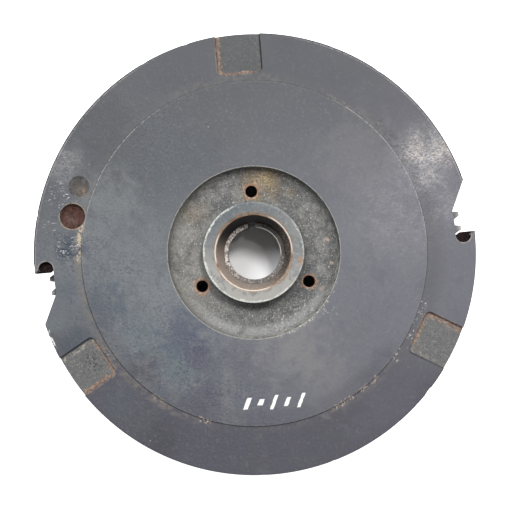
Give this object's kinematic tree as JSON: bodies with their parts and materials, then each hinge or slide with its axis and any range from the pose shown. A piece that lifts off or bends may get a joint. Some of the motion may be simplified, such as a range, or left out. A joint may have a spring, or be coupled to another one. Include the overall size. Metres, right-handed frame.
{
  "type": "flywheel",
  "caption": "Magneto flywheel: painted cast-iron disc with a keyed taper hub, starter ring gear, rope notches and magnets inside its skirt.",
  "frame": {"origin": "on the crank axis, in the plane of the skirt's lower rim", "axes": "+Z out of the front face along the crank axis, +Y through the first puller hole"},
  "size_m": [0.248, 0.248, 0.056],
  "materials": {
    "painted_iron": "worn dark blue-grey paint on cast iron, rust at edges and bare bore",
    "gear_steel": "bare machined gear steel, lightly stained",
    "ferrite": "dark grey sintered ferrite",
    "trigger_ferrite": "dark grey bonded ferrite",
    "spacer_plastic": "black moulded plastic",
    "liner_steel": "thin stainless sheet, dull",
    "keeper_aluminium": "plain aluminium, dull",
    "screw_steel": "yellowed zinc plating",
    "carrier_plastic": "black glass-filled plastic"
  },
  "bodies": {
    "root": {"flywheel_body": "painted_iron", "ring_gear": "gear_steel", "charging_magnet_1": "ferrite", "charging_magnet_2": "ferrite", "charging_magnet_3": "ferrite", "charging_magnet_4": "ferrite", "charging_magnet_5": "ferrite", "charging_magnet_6": "ferrite", "magnet_spacer_1": "spacer_plastic", "magnet_spacer_2": "spacer_plastic", "magnet_spacer_3": "spacer_plastic", "magnet_spacer_4": "spacer_plastic", "magnet_spacer_5": "spacer_plastic", "magnet_spacer_6": "spacer_plastic", "magnet_liner": "liner_steel", "magnet_keeper_ring": "keeper_aluminium", "magnet_keeper_screws": "screw_steel", "trigger_magnet_carrier": "carrier_plastic", "trigger_magnet_1": "trigger_ferrite", "trigger_magnet_2": "trigger_ferrite", "trigger_carrier_screws": "screw_steel"}
  },
  "joints": []
}
